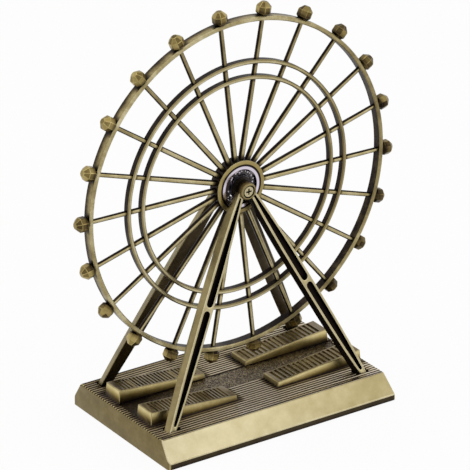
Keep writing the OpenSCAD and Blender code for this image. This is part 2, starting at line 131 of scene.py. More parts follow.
# %% Arithmetic with nodes
def calc(tree, op, *values, clamp=False):
    node = add(tree, "ShaderNodeMath", {"operation": op, "use_clamp": clamp})
    for i, value in enumerate(values):
        put(tree, node, i, value)
    return node.outputs[0]


def times(tree, *values):
    return reduce(lambda a, b: calc(tree, "MULTIPLY", a, b), values)


def highest(tree, *values):
    return reduce(lambda a, b: calc(tree, "MAXIMUM", a, b), values)


def apart(tree, a, b):
    return calc(tree, "ABSOLUTE", calc(tree, "SUBTRACT", a, b))


def off_whole(tree, value):
    """How far a value lies from the nearest whole number, from 0 to 0.5."""
    return apart(tree, value, calc(tree, "ROUND", value))


def ease(tree, value, low, high, start=0.0, stop=1.0):
    """A smooth step: it gives start until value is low, and stop from where it is high."""
    node = add(tree, "ShaderNodeMapRange", {"interpolation_type": "SMOOTHSTEP"}, Value=value,
               From_Min=low, From_Max=high, To_Min=start, To_Max=stop)
    return node.outputs[0]


def ramp(tree, fac, stops):
    """Looks a colour up on a scale of (position, colour) stops."""
    node = add(tree, "ShaderNodeValToRGB", Fac=fac)
    while len(node.color_ramp.elements) < len(stops):
        node.color_ramp.elements.new(0.5)
    for element, (pos, colour) in zip(node.color_ramp.elements, stops):
        element.position = pos
        element.color = (*colour, 1)
    return node.outputs["Color"]


print("arithmetic ready")

# %% [markdown]
# ## Reading the place and the direction
#
# Patina and wear lie where the form puts them: in hollows, on edges, on the outside. A painted
# image could say so, but it needs a UV map on each piece and its detail is limited. Here a
# pattern reads the place on the piece, in millimetres, and the way the surface faces. So it stays
# put when the wheel turns or the camera moves, and is sharp at any distance.


# %% Place and direction
def object_place(tree):
    return add(tree, "ShaderNodeTexCoord").outputs["Object"]


def place_mm(tree):
    """X, Y and Z on the piece, in mm."""
    scaled = add(tree, "ShaderNodeVectorMath", {"operation": "SCALE"}, Scale=1 / MM)
    put(tree, scaled, 0, object_place(tree))
    return tuple(add(tree, "ShaderNodeSeparateXYZ", Vector=scaled.outputs[0]).outputs)


def facing(tree):
    """X, Y and Z of the direction that the surface faces."""
    normal = add(tree, "ShaderNodeTexCoord").outputs["Normal"]
    return tuple(add(tree, "ShaderNodeSeparateXYZ", Vector=normal).outputs)


def polar(tree):
    """Distance from the wheel's axis, place along X and height above the axis, in mm."""
    x, _, z = place_mm(tree)
    up = calc(tree, "SUBTRACT", z, AXIS_Z)
    radius = calc(tree, "SQRT", calc(tree, "MULTIPLY_ADD", x, x, times(tree, up, up)))
    return radius, x, up


def front_or_back(tree):
    """How far the surface faces the front or the back, from 0 to 1."""
    return calc(tree, "ABSOLUTE", facing(tree)[1])


def radial_facing(tree):
    """How far the surface faces away from the wheel's axis, from -1 to 1."""
    radius, x, up = polar(tree)
    nx, _, nz = facing(tree)
    dot = calc(tree, "MULTIPLY_ADD", nx, x, times(tree, nz, up))
    return calc(tree, "DIVIDE", dot, radius)


print("place and direction ready")


# %% Grain and cells
def grain(tree, scale, detail=4.0, rough=0.6):
    """A cloudy noise about zero. A scale of 1000 gives clouds about a millimetre wide."""
    node = add(tree, "ShaderNodeTexNoise", Vector=object_place(tree), Scale=scale, Detail=detail,
               Roughness=rough)
    return calc(tree, "SUBTRACT", node.outputs["Fac"], 0.5)


def cells(tree, scale):
    """Small cells. Distance grows from a cell's middle, and Color is random for each cell."""
    return add(tree, "ShaderNodeTexVoronoi", {"feature": "F1"}, Vector=object_place(tree),
               Scale=scale)


print("grain and cells ready")

# %% [markdown]
# ## Aged brass
#
# The real piece is a casting dipped in a dark patina and then brushed, so the metal is bright
# where a brush reaches and nearly black in hollows. The same scale also carries painted light
# and shade: faces are painted lighter or darker by the way they face, and the sides between the
# spokes and inside the rings are painted in shade. Two materials, brass and patina, could be
# mixed, but in between the real finish is brown, not a blend of the two. So one builder makes
# every brass here. It takes `wear_and_light`, a number or a mask from 0, black patina or painted
# shade, to 1, rubbed bright or painted light, stirs it with a broad and a fine noise, and looks the
# colour up on one scale from dark to pale metal. Patina is also a little rougher than bare metal.


# %% Aged brass
# From black patina or painted shade to pale metal that is rubbed or painted light.
PATINA_AND_SHADE_SCALE = [(0.0, (0.013, 0.009, 0.008)), (0.25, (0.068, 0.050, 0.026)),
                (0.5, (0.200, 0.155, 0.068)), (0.75, (0.380, 0.315, 0.155)),
                (1.0, (0.640, 0.570, 0.365))]
NEUTRAL, WARM, COOL = (1, 1, 1), (1.03, 0.98, 0.78), (1.0, 0.98, 1.18)
CLOUD_SCALE, PIT_SCALE = 170.0, 1500.0
PIT_DEPTH = 0.03
PATINA_ROUGH = 0.14


def new_material(name):
    mat = bpy.data.materials.new(name)
    tree = empty_tree(mat)
    shader = add(tree, "ShaderNodeBsdfPrincipled")
    put(tree, add(tree, "ShaderNodeOutputMaterial"), 0, shader.outputs[0])
    return mat, tree, shader


def tinted(colour, tint):
    return tuple(c * t for c, t in zip(colour, tint))


def brass(name, wear_and_light, stir=0.5, rough=0.36, tint=NEUTRAL):
    mat, tree, shader = new_material(name)
    level = wear_and_light(tree) if callable(wear_and_light) else wear_and_light
    clouds = grain(tree, CLOUD_SCALE, detail=3.0)
    pits = grain(tree, PIT_SCALE, detail=5.0, rough=0.7)
    level = calc(tree, "MULTIPLY_ADD", clouds, stir, level)
    level = calc(tree, "MULTIPLY_ADD", pits, stir * 0.55, level, clamp=True)
    scale = [(pos, tinted(colour, tint)) for pos, colour in PATINA_AND_SHADE_SCALE]
    put(tree, shader, "Base Color", ramp(tree, level, scale))
    put(tree, shader, "Metallic", 1.0)
    left = calc(tree, "SUBTRACT", 1.0, level)
    matt = calc(tree, "MULTIPLY_ADD", left, PATINA_ROUGH, rough - 0.04)
    put(tree, shader, "Roughness", calc(tree, "MULTIPLY_ADD", pits, 0.25, matt))
    relief = add(tree, "ShaderNodeBump", Strength=0.5, Distance=PIT_DEPTH * MM, Height=pits)
    put(tree, shader, "Normal", relief.outputs[0])
    return mat


print("patina scale has", len(PATINA_AND_SHADE_SCALE), "colours")

# %% [markdown]
# ## Plain brasses
#
# Where a whole face has one finish, a number does for `wear_and_light`. From the brightest to
# the darkest: edges worn by hands and lit by a painted highlight, faces painted pale as lit, broken
# edges, leg sides, sloping ends in painted shade, the wheel's side of the legs, and black for
# patina that no brush has touched and for painted shade.

# %% Plain brasses
# Bright edges carry wear and a painted highlight, pale faces are painted light, and black stands
# for patina and for painted shade.
edge_wear_and_highlight = brass("worn_edge_brass", 0.94, stir=0.4, rough=0.30)
pale = brass("rubbed_brass", 0.84, stir=0.22, rough=0.42)
gold = brass("gold_brass", 0.70, stir=0.45)
leg_brass = brass("leg_side_brass", 0.60, stir=0.35, rough=0.38)
olive = brass("olive_brass", 0.50, stir=0.30, rough=0.42)
brown = brass("brown_patina", 0.24, stir=0.35)
black = brass("black_patina", 0.0, stir=0.10, rough=0.45)
print("plain brasses made")

# %% [markdown]
# ## Brass on the wheel
#
# The faces that look to the front, the back and the outside are painted light, and the sides
# between the spokes are painted in shade. It is also a little darker at one end than at the other.
# Each mask says in one short function where one kind of piece is painted light or dark. In an
# `ease` call the first two numbers are places in mm, or how far a surface faces a way, and the
# last two are the brightness there.


# %% Spokes and rings
DRUM_R = 9.775
RIGHT_FADE_X = (0.0, 50.0)


def right_fade(tree, least):
    """Darker towards +X, where it fades to a least share."""
    return ease(tree, place_mm(tree)[0], *RIGHT_FADE_X, 1.0, least)


def spoke_light_and_shade(tree):
    """Painted light: lit in front and behind, with the sides in painted shade; darker at the drum
    and at the rings, and a little darker high up.
    """
    front = ease(tree, front_or_back(tree), 0.68, 0.88, 0.02, 0.80)
    radius, _, up = polar(tree)
    open_end = ease(tree, radius, DRUM_R + 0.4, DRUM_R + 2.4, 0.25, 1.0)
    level = times(tree, open_end, ease(tree, up, 14.0, 44.0, 1.0, 0.74), front)
    for ring in (MIDDLE, INNER):
        off = apart(tree, radius, (ring["r0"] + ring["r1"]) / 2)
        level = times(tree, level, ease(tree, off, 0.9, 2.0, 0.45, 1.0))
    return level


def ring_light_and_shade(tree):
    """Painted light: lit in front and behind, and painted shade inside and outside."""
    front = ease(tree, front_or_back(tree), 0.35, 0.90, 0.02, 0.86)
    return times(tree, front, right_fade(tree, 0.76))


spoke_brass = brass("spoke_brass", spoke_light_and_shade, stir=0.45)
ring_brass = brass("ring_brass", ring_light_and_shade, stir=0.35)
print("spoke and ring brass made")


# %% Rim
def rim_light_and_shade(tree):
    """Painted light: lit in front and behind and outside between the capsules, lighter towards the
    front, painted shade where it faces the axis, and darker at each foot.
    """
    _, x, up = polar(tree)
    outward = ease(tree, radial_facing(tree), 0.2, 0.8)
    front = times(tree, ease(tree, front_or_back(tree), 0.40, 0.75, 0.03, 0.80), right_fade(tree, 0.76))
    angle = calc(tree, "ARCTAN2", up, x)
    step = 2 * math.pi / SPOKES
    turns = calc(tree, "DIVIDE", calc(tree, "SUBTRACT", angle, PHASE), step)
    arc = times(tree, off_whole(tree, turns), step * RIM["r1"])
    between = ease(tree, arc, 1.8, 4.6, 0.05, 1.0)
    across = ease(tree, place_mm(tree)[1], 1.3, -0.9, 0.16, 0.62)
    outer = times(tree, between, across, outward)
    inner = ease(tree, radial_facing(tree), -0.3, -0.8, 0.0, 0.05)
    return highest(tree, front, outer, inner)


rim_brass = brass("rim_brass", rim_light_and_shade, stir=0.80)
print("rim brass made")


# %% Capsules
CAPSULE_FADE = (61.9, 64.2)


def capsule_fade_and_sheen(tree):
    """Dark at the foot and bright outside, with a random tone on each facet as a painted
    reflection.
    """
    sheen = add(tree, "ShaderNodeAttribute", {"attribute_name": "facet_tone"}).outputs["Fac"]
    lit = ease(tree, polar(tree)[0], *CAPSULE_FADE, 0.06, 0.54)
    return calc(tree, "ADD", times(tree, lit, right_fade(tree, 0.74)), sheen)


# A painted highlight on the capsules' rounded edges, brighter further out.
def capsule_edge_highlight_level(tree):
    return times(tree, ease(tree, polar(tree)[0], *CAPSULE_FADE, 0.20, 0.72), right_fade(tree, 0.66))


capsule_brass = brass("capsule_brass", capsule_fade_and_sheen, stir=0.55, rough=0.28, tint=WARM)
capsule_highlit_edge = brass("capsule_edge_brass", capsule_edge_highlight_level, stir=0.7, rough=0.28, tint=WARM)
print("capsule brasses made")


# %% Hub and bosses
def hub_light_and_seam(tree):
    """Painted light: lit in front and behind and in painted shade elsewhere, with a dark seam round
    the bearing.
    """
    front = ease(tree, front_or_back(tree), 0.35, 0.80, 0.0, 0.66)
    seam = ease(tree, polar(tree)[0], RACE_R + 0.25, RACE_R + 0.50)
    return times(tree, front, seam)


def boss_light_and_shade(tree):
    """Painted light: lit on its face and on the outer part of its round side, and painted shade at
    the bearing.
    """
    y = calc(tree, "ABSOLUTE", place_mm(tree)[1])
    side = ease(tree, y, 4.2, 6.4, 0.10, 0.46)
    return highest(tree, side, ease(tree, front_or_back(tree), 0.7, 0.9, 0.0, 0.42))


hub_brass = brass("hub_brass", hub_light_and_seam, stir=0.30, tint=WARM)
boss_brass = brass("boss_brass", boss_light_and_shade, stir=0.35, rough=0.30, tint=WARM)
print("hub and boss brass made")

# %% [markdown]
# ## Brass on the base
#
# The top of the base is cut by fine ribs that run along X. Their crests were brushed and their
# grooves hold patina, and the corners at the piers' feet are painted in shade. Shade like this
# could be found by tracing short rays from each point, but that is slow and grainy. The base has
# simple forms, so its masks are worked out from the distance to a pier and from the height.


# %% Ribs and slopes
RIB_DEPTH, RIB_PITCH = 0.5, 1.386


def pier_distance(tree, x, y):
    """Distance in mm from the nearest pier's footprint."""
    gaps = []
    for value, (low, high) in ((x, PIER_X), (y, PIER_Y)):
        value = calc(tree, "ABSOLUTE", value)
        below, above = calc(tree, "SUBTRACT", low, value), calc(tree, "SUBTRACT", value, high)
        gaps.append(highest(tree, below, above, 0.0))
    dx, dy = gaps
    return calc(tree, "SQRT", calc(tree, "MULTIPLY_ADD", dx, dx, times(tree, dy, dy)))


def rib_patina_and_shade(tree):
    """Bright on the crests, most at the right end, less at the left and behind, with painted shade
    near a pier.
    """
    x, y, z = place_mm(tree)
    deep = ease(tree, z, BASE_TOP - RIB_DEPTH, BASE_TOP - 0.08)
    off = off_whole(tree, calc(tree, "DIVIDE", y, RIB_PITCH))
    crest = times(tree, deep, ease(tree, off, 0.21, 0.34, 0.14, 1.22))
    # Painted shade near a pier.
    clear = ease(tree, pier_distance(tree, x, y), 0.2, 3.4, 0.15, 1.0)
    left = ease(tree, x, -44.0, -18.0, 0.72, 1.0)
    right = ease(tree, x, 10.0, 40.0, 1.0, 1.25)
    rib_gradient = times(tree, left, right, ease(tree, y, -22.0, 24.0, 1.0, 0.62))
    return times(tree, crest, clear, rib_gradient)


def slope_shade(tree):
    """Painted shade: the long slopes are a little brighter at the left end and darker towards the
    right, against the front lamp's highlight.
    """
    return ease(tree, place_mm(tree)[0], -44.0, 46.0, 0.95, 0.76)


def lip_shade(tree):
    """Painted shade: the lip round the foot is dark, most of all at its lower edge."""
    return ease(tree, place_mm(tree)[2], 0.3, 1.4, 0.07, 0.18)


rib_brass = brass("rib_brass", rib_patina_and_shade, stir=0.35, tint=COOL)
slope_brass = brass("slope_brass", slope_shade, stir=0.22, rough=0.42)
lip_brass = brass("lip_brass", lip_shade, stir=0.20, rough=0.45)
print("rib, slope and lip brass made")


# %% Piers
def pier_depth(tree):
    """Distance in mm below the sloping top of a pier."""
    x, _, z = place_mm(tree)
    slope = (PIER_RISE[1] - PIER_RISE[0]) / (PIER_X[1] - PIER_X[0])
    low = BASE_TOP + PIER_RISE[0] - slope * PIER_X[0]
    top = calc(tree, "MULTIPLY_ADD", calc(tree, "ABSOLUTE", x), slope, low)
    return calc(tree, "SUBTRACT", top, z)


def pier_side_shade(tree):
    """Lighter at the top, with painted shade down to where the pier meets the ribs."""
    return ease(tree, pier_depth(tree), 4.7, 0.4, 0.12, 0.95)


def pier_top_reach(tree):
    """The highest parts of a pier's top, a little darker where they lie lower."""
    return ease(tree, pier_depth(tree), 0.35, 0.05, 0.33, 0.48)


pier_side_brass = brass("pier_side_brass", pier_side_shade, stir=0.35, tint=WARM)
pier_top_brass = brass("pier_top_brass", pier_top_reach, stir=0.35, tint=COOL)
pier_rim_brass = brass("pier_rim_brass", 0.50, stir=0.35)
pier_step_brass = brass("pier_step_brass", 0.55, stir=0.35)
print("pier brasses made")


# %% River
def river_patina_and_glints(tree):
    """Dark between the grains of the stipple, with small painted glints, and darker towards both
    ends.
    """
    x, _, z = place_mm(tree)
    peak = ease(tree, z, RIVER_Z + 0.10, RIVER_Z + 0.30, 0.10, 0.52)
    glint = ease(tree, cells(tree, 2800.0).outputs["Distance"], 0.25, 0.60, 0.55, -0.10)
    left = ease(tree, x, -36.0, -14.0, 0.30, 1.0)
    right = ease(tree, x, 8.0, 30.0, 0.88, 0.72)
    lit = calc(tree, "ADD", times(tree, peak, 0.5), glint)
    return times(tree, left, right, lit)


river_brass = brass("river_brass", river_patina_and_glints, stir=0.30, tint=COOL)
print("river brass made")

# %% [markdown]
# ## Steel
#
# The real bearing has bright steel races, a dark ring between them that holds the balls, and
# balls that catch a few points of light. Shapes for such fine seams and glints would be smaller
# than a pixel, so the colour carries them: the outer race is dark in its two seams and painted in
# shade in its bore, and the cage is black with a few painted glints. The other steels are one plain
# metal with a fine grain.


# %% Steel
def speckled(tree, fine, colour, share):
    """The colour, which darkens to a share of its brightness where fine is low."""
    return ramp(tree, fine, [(0.3, tinted(colour, (share,) * 3)), (0.7, colour)])


def steel(name, colour, rough):
    mat, tree, shader = new_material(name)
    fine = calc(tree, "ADD", grain(tree, 1800.0), 0.5)
    put(tree, shader, "Base Color", speckled(tree, fine, colour, 0.80))
    put(tree, shader, "Metallic", 1.0)
    put(tree, shader, "Roughness", calc(tree, "MULTIPLY_ADD", fine, 0.10, rough))
    return mat


chrome = steel("polished_steel", (0.74, 0.69, 0.76), 0.12)
dark_steel = steel("dark_steel", (0.20, 0.19, 0.215), 0.28)
screw_steel = steel("screw_steel", (0.56, 0.49, 0.30), 0.28)
washer_steel = steel("washer_steel", (0.045, 0.038, 0.034), 0.35)
print("steels made")

# %% Outer race and cage
RACE_SEAMS = ((RACE_R - 0.45, RACE_R - 0.30), (6.7, 6.5))


def race_steel(name, colour, bore):
    """Steel that is bright on its face and dark in its seams, with painted shade where it faces the
    axis.
    """
    mat, tree, shader = new_material(name)
    radius = polar(tree)[0]
    seams = (ease(tree, radius, *seam) for seam in RACE_SEAMS)
    dark = highest(tree, *seams, ease(tree, radial_facing(tree), -0.2, -0.6))
    put(tree, shader, "Base Color", ramp(tree, dark, [(0.0, colour), (1.0, bore)]))
    put(tree, shader, "Metallic", 1.0)
    put(tree, shader, "Roughness", 0.18)
    return mat


def glinting(name, colour, glint, size):
    """A dark surface with small painted glints: bright specks in the middles of some of the cells.
    """
    mat, tree, shader = new_material(name)
    found = cells(tree, size).outputs
    speck = ease(tree, found["Distance"], 0.42, 0.28)
    picked = ease(tree, found["Color"], 0.54, 0.58)
    scale = [(0.0, colour), (1.0, glint)]
    put(tree, shader, "Base Color", ramp(tree, times(tree, speck, picked), scale))
    put(tree, shader, "Roughness", 0.40)
    return mat


race = race_steel("race_steel", colour=(0.66, 0.60, 0.68), bore=(0.030, 0.024, 0.024))
cage_black = glinting("cage_plastic", colour=(0.026, 0.019, 0.019), glint=(0.80, 0.72, 0.80),
                      size=1200.0)
print("race and cage materials made")

# %% [markdown]
# ## Felt
#
# The sheet under the base is black felt. Real fibres would be far too many for a surface that is
# only seen as a thin dark line, so a fine noise gives both the colour and the bumps.


# %% Felt
def felt_cloth(name, colour, size):
    mat, tree, shader = new_material(name)
    fibres = calc(tree, "ADD", grain(tree, size, detail=6.0, rough=0.75), 0.5)
    put(tree, shader, "Base Color", speckled(tree, fibres, colour, 0.5))
    put(tree, shader, "Roughness", 0.95)
    nap = add(tree, "ShaderNodeBump", Strength=0.8, Distance=0.05 * MM, Height=fibres)
    put(tree, shader, "Normal", nap.outputs[0])
    return mat


felt = felt_cloth("pad_felt", (0.030, 0.028, 0.028), 2500.0)
print("felt made")

# %% [markdown]
# ## Mesh helpers
#
# A cast piece is a cleaned copy of its solid with rounded edges: small bevels catch the light as
# worn edges do. The Bevel modifier takes a weight for each edge, so one piece can have a full
# round here and a hardly broken edge there, and none where ribs are too fine for it. It gives its
# new faces slot 0, which tells the painting step that a face is an edge.


# %% Objects
def link(name, data):
    obj = bpy.data.objects.new(name, data)
    bpy.context.scene.collection.objects.link(obj)
    return obj


def finish_mesh(obj):
    """Turns an object with modifiers into a plain mesh object at the origin."""
    graph = bpy.context.evaluated_depsgraph_get()
    mesh = bpy.data.meshes.new_from_object(obj.evaluated_get(graph))
    mesh.name = obj.name
    obj.modifiers.clear()
    obj.data = mesh


def shade(obj, angle=32.0):
    """Shades smooth, apart from edges that bend by more than an angle in degrees."""
    for poly in obj.data.polygons:
        poly.use_smooth = True
    obj.data.set_sharp_from_angle(angle=math.radians(angle))


def skin(obj, body, slot, *nodes):
    """Ties a piece to its body and hides the CAD nodes that it stands for. Its slot is not used."""
    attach(obj, body)
    if nodes:
        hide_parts(*nodes)


print("object helpers ready")

# %% Clean copies
WELD = 2e-7
FLAT_WITHIN = math.radians(0.5)


def edge_and_face(mesh, edge_mat, face_mat):
    """Keeps slot 0 for the faces of rounded edges, and puts every face so far in slot 1."""
    mesh.materials.clear()
    mesh.materials.append(edge_mat)
    mesh.materials.append(face_mat)
    for poly in mesh.polygons:
        poly.material_index = 1


def merged_copy(node, name):
    """A copy of a CAD node's mesh with its doubles merged and its flat faces whole."""
    mesh = frame["nodes"][node].data.copy()
    bm = bmesh.new()
    bm.from_mesh(mesh)
    bmesh.ops.remove_doubles(bm, verts=bm.verts, dist=WELD)
    bmesh.ops.dissolve_limit(bm, angle_limit=FLAT_WITHIN, verts=bm.verts, edges=bm.edges)
    bmesh.ops.recalc_face_normals(bm, faces=bm.faces)
    bm.to_mesh(mesh)
    bm.free()
    edge_and_face(mesh, edge_wear_and_highlight, gold)
    return link(name, mesh)


print("copy helpers ready")


# %% Round edges and paint
Face = namedtuple("Face", "at normal corners on_edge")


def soften(obj, width, chosen=None, segments=2, angle=25.0):
    """Rounds each convex edge by the share of width, in mm, that chosen(edge) gives.

    The new faces get slot 0, and the number of rounded edges is returned."""
    bm = bmesh.new()
    bm.from_mesh(obj.data)
    weight = bm.edges.layers.float.new("bevel_weight_edge")
    count = 0
    for edge in bm.edges:
        if len(edge.link_faces) == 2 and edge.calc_face_angle_signed(0.0) > math.radians(angle):
            edge[weight] = 1.0 if chosen is None else float(chosen(edge))
            count += edge[weight] > 0
    bm.to_mesh(obj.data)
    bm.free()
    mod = obj.modifiers.new("round", "BEVEL")
    mod.width = width * MM
    mod.segments = segments
    mod.limit_method = "WEIGHT"
    mod.material = 0
    mod.use_clamp_overlap = False
    finish_mesh(obj)
    return count


def paint(obj, finish):
    """Gives each face the material that finish(face) names. Places are in mm."""
    mesh = obj.data
    picks = []
    for poly in mesh.polygons:
        corners = [mesh.vertices[i].co / MM for i in poly.vertices]
        on_edge = poly.material_index == 0
        picks.append(finish(Face(poly.center / MM, poly.normal, corners, on_edge)))
    mats = sorted(set(picks), key=lambda mat: mat.name)
    mesh.materials.clear()
    for mat in mats:
        mesh.materials.append(mat)
    for poly, pick in zip(mesh.polygons, picks):
        poly.material_index = mats.index(pick)


def casting(node, name, width, chosen, finish):
    """A copy of a CAD node with rounded edges and a finish on each face."""
    piece = merged_copy(node, name)
    count = soften(piece, width, chosen)
    paint(piece, finish)
    shade(piece)
    print(f"{name}: {count} edges rounded, {len(piece.data.polygons)} faces")
    return piece


print("rounding and painting ready")

# %% [markdown]
# ## The two frames
#
# Each frame is one casting: two slotted legs, a boss and two feet. The slots hold patina, so
# their walls and floors stay black. The outer faces are painted pale and the sides that look
# outwards a mid brass, as light falls on them; the sides inside the A are painted black as shade,
# and those towards the wheel dark brown. Edges that look outwards get a painted highlight as well
# as wear. The solid has the right form already, so a copy of it is rounded: the boss gets a round
# rim, and every other edge is only broken.


# %% Places on a frame
LEAN = math.radians(12.14)
LEAN_OUT = Vector((0, -math.cos(LEAN), math.sin(LEAN)))
FRAME_GAP = 3.3  # from the middle to the leaning line, at the axis
FRAME_FACE = {-1: 2.55, 1: 3.85}  # from that line to the outer face, in front and behind
SLOT_DEPTH = 1.7
BOSS_R, BOSS_Y = 3.1, 7.5  # radius of the boss, and where its outer face lies
SEAT_R = 2.3  # sunk seat of the axle screw
TOUCH = 0.05  # two places this near count as one


def frame_depth(point):
    """How deep a point in mm lies under the outer face of its leaning leg."""
    spot = Vector((point[0], -abs(point[1]), point[2]))
    face = FRAME_FACE[-1 if point[1] < 0 else 1]
    front = Vector((0, -FRAME_GAP, AXIS_Z)) + LEAN_OUT * face
    return (front - spot).dot(LEAN_OUT)


def from_axis(point):
    return math.hypot(point[0], point[2] - AXIS_Z)


def in_slot(corners):
    """Whether a face is a wall or the floor of a slot: it lies deep, but no deeper than a slot."""
    depths = [frame_depth(corner) for corner in corners]
    return min(depths) > -TOUCH and 0.5 < max(depths) < SLOT_DEPTH + 0.1


print("frames lean", round(math.degrees(LEAN), 2), "degrees")


# %% Frame castings
def frame_edge(edge):
    """The boss has a fully round rim, every other edge is only broken."""
    spots = [v.co / MM for v in edge.verts]
    on_round = all(abs(from_axis(at) - BOSS_R) < TOUCH for at in spots)
    on_rim = on_round and all(abs(at.y) > BOSS_Y - TOUCH for at in spots)
    return 1.0 if on_rim else 0.35


def boss_finish(face):
    if from_axis(face.at) < SEAT_R + TOUCH and abs(face.at[1]) < BOSS_Y - 0.15:
        return black
    return leg_brass if face.on_edge else boss_brass


def frame_finish(face):
    at, normal = face.at, face.normal
    outwards = Vector((normal[0], -normal[1] * math.copysign(1, at[1]), normal[2])).dot(LEAN_OUT)
    away = normal[0] * math.copysign(1, at[0])
    if AXIS_Z - at[2] > BOSS_R + 0.2 and in_slot(face.corners):
        return black
    if from_axis(at) < BOSS_R + 0.2:
        return boss_finish(face)
    # Edges that look outwards are worn and get a painted highlight; the other edges are olive.
    if face.on_edge:
        return edge_wear_and_highlight if outwards > -0.2 else olive
    # Painted light: outer faces pale, outward sides mid brass, sides inside the A black as painted
    # shade, the wheel's side dark brown.
    if outwards > 0.75:
        return pale
    if outwards < -0.75:
        return brown
    return leg_brass if away > 0 else black


for side in ("front", "rear"):
    piece = casting(f"{side}_frame", f"{side}_frame_casting", 0.60, frame_edge, frame_finish)
    skin(piece, "stand", "cast_brass", f"{side}_frame")

# %% [markdown]
# ## The base
#
# The base keeps its solid's ribs, steps and pockets, which are too fine for a bevel. Only its
# outline and the piers get rounded edges. A paint layer could hold the finish of each place, but
# here the faces themselves are sorted by where they lie and what they face: steps, pier tops,
# rims and sides, slopes, ends, lip, pockets and ribs.


# %% Places on the base
PIER_RIM = 1.0  # plain rim on both sides of a pier's steps
TOP_X, TOP_Y = 45.6, 25.5  # where the top begins to round off
POCKET_X, POCKET_Y = (36.5, 44.0), (17.0, 24.5)  # room round each foot pocket
UNDER_Z = 0.4  # faces below this belong to the underside
STEP_DROP = 0.12  # faces lower than this are steps, not pier top
CLEAR = 0.02  # keeps rounding errors out of a comparison


def within(value, span, margin):
    """Whether a value, left or right of zero, lies in a span widened by a margin in mm."""
    return span[0] - margin < abs(value) < span[1] + margin


def pier_top_z(x):
    share = (abs(x) - PIER_X[0]) / (PIER_X[1] - PIER_X[0])
    return BASE_TOP + PIER_RISE[0] + (PIER_RISE[1] - PIER_RISE[0]) * share


def on_pier(at):
    return at[2] > BASE_TOP + CLEAR and within(at[0], PIER_X, 0.5)


def in_steps(at):
    return on_pier(at) and within(at[1], PIER_Y, TOUCH - PIER_RIM) and within(at[0], PIER_X, -0.6)


def in_pocket(at):
    inside = within(at[0], POCKET_X, 0.0) and within(at[1], POCKET_Y, 0.0)
    return inside and UNDER_Z < at[2] < BASE_TOP - CLEAR


print("pier tops rise to", round(pier_top_z(PIER_X[1]), 2), "mm")


# %% Kinds of face on the base
def pier_kind(at, normal):
    faces_up = normal[2] > 0.9
    if in_steps(at):
        return "pier_top" if faces_up and at[2] > pier_top_z(at[0]) - STEP_DROP else "steps"
    return "pier_rim" if faces_up else "pier_side"


def side_kind(at, normal):
    """A face of the long sides: the upright lip, the slope above it or the rounded rim."""
    if at[2] < LIP_H and abs(normal[1]) > 0.9:
        return "lip"
    return "slope" if normal[2] < 0.7 else "rim"


def base_kind(at, normal):
    if on_pier(at):
        return pier_kind(at, normal)
    if at[2] < UNDER_Z and abs(normal[2]) > 0.5 or normal[2] < -0.5:
        return "under"
    if in_pocket(at) and abs(normal[2]) < 0.95:
        return "pocket"
    if abs(normal[0]) > 0.75:
        return "end"
    if abs(at[0]) > TOP_X and abs(normal[0]) > 0.2:
        return "rim"
    if abs(at[1]) > TOP_Y and normal[2] < 0.9:
        return side_kind(at, normal)
    off_river = abs(at[1]) > RIVER_W / 2 + 0.2
    return "pocket" if off_river and at[2] < BASE_TOP - CLEAR and normal[2] > 0.95 else "ribs"


# The ends are painted olive, darker than the slopes, as painted shade; slopes, lip and pier sides
# carry painted shade of their own.
BASE_FINISH = {
    "steps": pier_step_brass, "pier_top": pier_top_brass, "pier_rim": pier_rim_brass,
    "pier_side": pier_side_brass, "end": olive, "slope": slope_brass, "rim": gold,
    "lip": lip_brass, "under": black, "pocket": black, "ribs": rib_brass,
}
PLAIN_KINDS = set(BASE_FINISH) - {"steps", "under", "pocket", "ribs"}
print("kinds of face:", len(BASE_FINISH), "of which get round edges:", len(PLAIN_KINDS))


# %% Base casting
def base_edge(edge):
    faces = edge.link_faces
    return all(base_kind(f.calc_center_median() / MM, f.normal) in PLAIN_KINDS for f in faces)


def base_finish(face):
    if face.on_edge and face.at[2] > LIP_H - 0.3:
        return edge_wear_and_highlight if face.at[2] < BASE_TOP + 0.1 else gold
    return BASE_FINISH[base_kind(face.at, face.normal)]


base = casting("base", "base_casting", 0.28, base_edge, base_finish)
skin(base, "stand", "cast_brass", "base")

# %% [markdown]
# ## Wheel parts by Geometry Nodes
#
# The wheel repeats one spoke and one capsule at each of its places, and its rings are one section
# swept round. An Array modifier or a loop of copies could repeat a shape, but a tree keeps the
# count and the sizes as named inputs, so one number changes the whole wheel. The tree makes a
# line of points on the axis and turns an instance at each point by its index. It ends in Realize
# Instances and Set Material, because the export drops instances.


# %% A tree with named inputs
def sizes(**values):
    """Named inputs for lengths that are given in mm."""
    return [(label.replace("_", " "), "NodeSocketFloat", mm * MM) for label, mm in values.items()]


